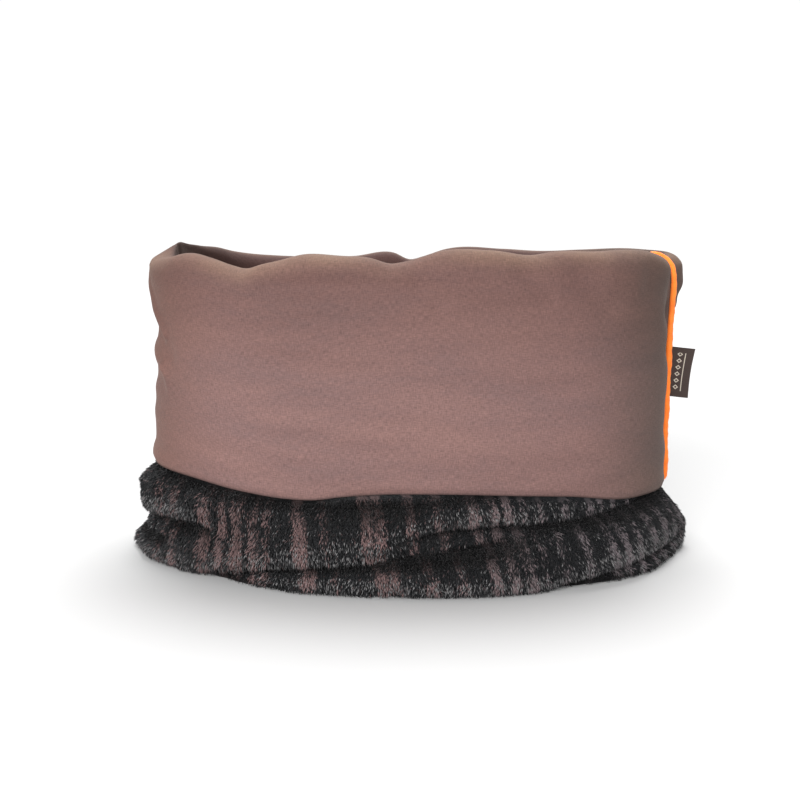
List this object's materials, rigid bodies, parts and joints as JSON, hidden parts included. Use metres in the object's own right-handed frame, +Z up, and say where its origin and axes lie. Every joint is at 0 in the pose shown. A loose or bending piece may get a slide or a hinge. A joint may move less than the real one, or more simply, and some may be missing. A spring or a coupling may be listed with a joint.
{
  "type": "snuggle sack",
  "caption": "Soft plush sack or warming muff with a closed foot, slumped into stacked folds, its smooth mouth turned down into a deep cuff with a piped seam and a side label.",
  "frame": {"origin": "on the floor, at the middle of the sack's foot", "axes": "+X along the mouth towards the piped seam and its label, +Y to the back, +Z up out of the mouth"},
  "size_m": [0.5477, 0.35, 0.2833],
  "materials": {
    "shell_fabric": "smooth brushed weave, matt, dusty brown",
    "plush_pile": "dense short pile, charcoal with broken dusty-rose stripes",
    "wadding_fibre": "white polyester wadding",
    "piping_fabric": "bright orange bias-cut piping cover",
    "piping_core": "twisted cotton filler cord",
    "label_weave": "dark brown woven ribbon"
  },
  "bodies": {
    "base": {"base_plush": "plush_pile", "base_wadding": "wadding_fibre", "pocket_floor": "shell_fabric", "plush_folds_front": "plush_pile", "plush_folds_back": "plush_pile", "folds_wadding_front": "wadding_fibre", "folds_wadding_back": "wadding_fibre", "pocket_lining_front": "shell_fabric", "pocket_lining_back": "shell_fabric", "lower_piping_cover": "piping_fabric", "lower_piping_cord": "piping_core"},
    "cuff": {"shell_front": "shell_fabric", "shell_back": "shell_fabric", "wadding_front": "wadding_fibre", "wadding_back": "wadding_fibre", "plush_wall_front": "plush_pile", "plush_wall_back": "plush_pile", "piping_cover": "piping_fabric", "piping_cord": "piping_core"},
    "label": {"woven_label": "label_weave"}
  },
  "joints": [
    {"name": "cuff_lift", "type": "slide", "parent": "base", "child": "cuff", "axis": [0, 0, 1], "range_m": [0, 0.08], "deforming": ["plush_folds_front", "plush_folds_back", "folds_wadding_front", "folds_wadding_back", "pocket_lining_front", "pocket_lining_back", "lower_piping_cover", "lower_piping_cord"]},
    {"name": "label_flap", "type": "hinge", "parent": "cuff", "child": "label", "pos_m": [0.2568, 0, 0.138], "axis": [0.1045, 0, 0.9945], "range_deg": [-75, 75], "stiffness_Nm_per_rad": 0.002}
  ]
}
